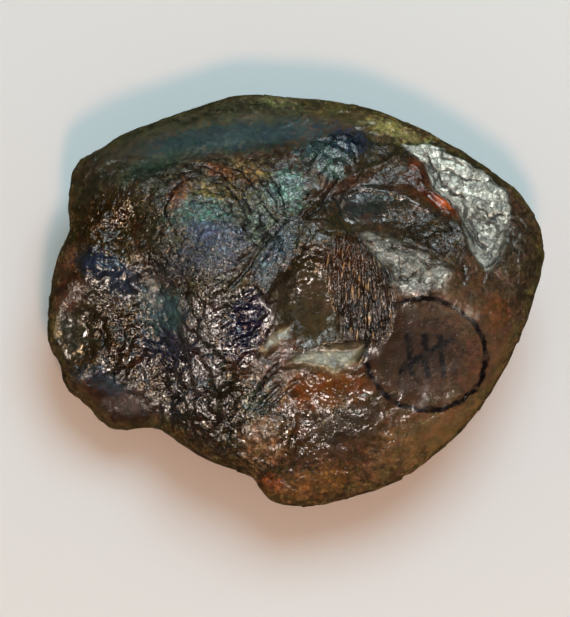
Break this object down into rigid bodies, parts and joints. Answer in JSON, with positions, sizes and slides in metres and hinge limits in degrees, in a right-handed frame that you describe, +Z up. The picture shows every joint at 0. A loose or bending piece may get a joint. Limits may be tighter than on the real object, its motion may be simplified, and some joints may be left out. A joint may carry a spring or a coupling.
{
  "type": "rough sapphire",
  "caption": "Uncut sapphire crystal fragment with rippled and crackled fracture faces, lying on a flat parting face.",
  "frame": {"origin": "on the surface that the stone lies on, under the centre of its box", "axes": "+Z up, out of the resting face; +X along the stone's longest extent, with the lower, rougher end at -X; +Y across it, away from the viewer of the marked side"},
  "size_m": [0.032, 0.0266, 0.014],
  "materials": {
    "sapphire": "glossy natural fracture skin, olive brown with blue and teal zones and pale crackled faces"
  },
  "bodies": {
    "root": {"rough_sapphire": "sapphire"}
  },
  "joints": []
}
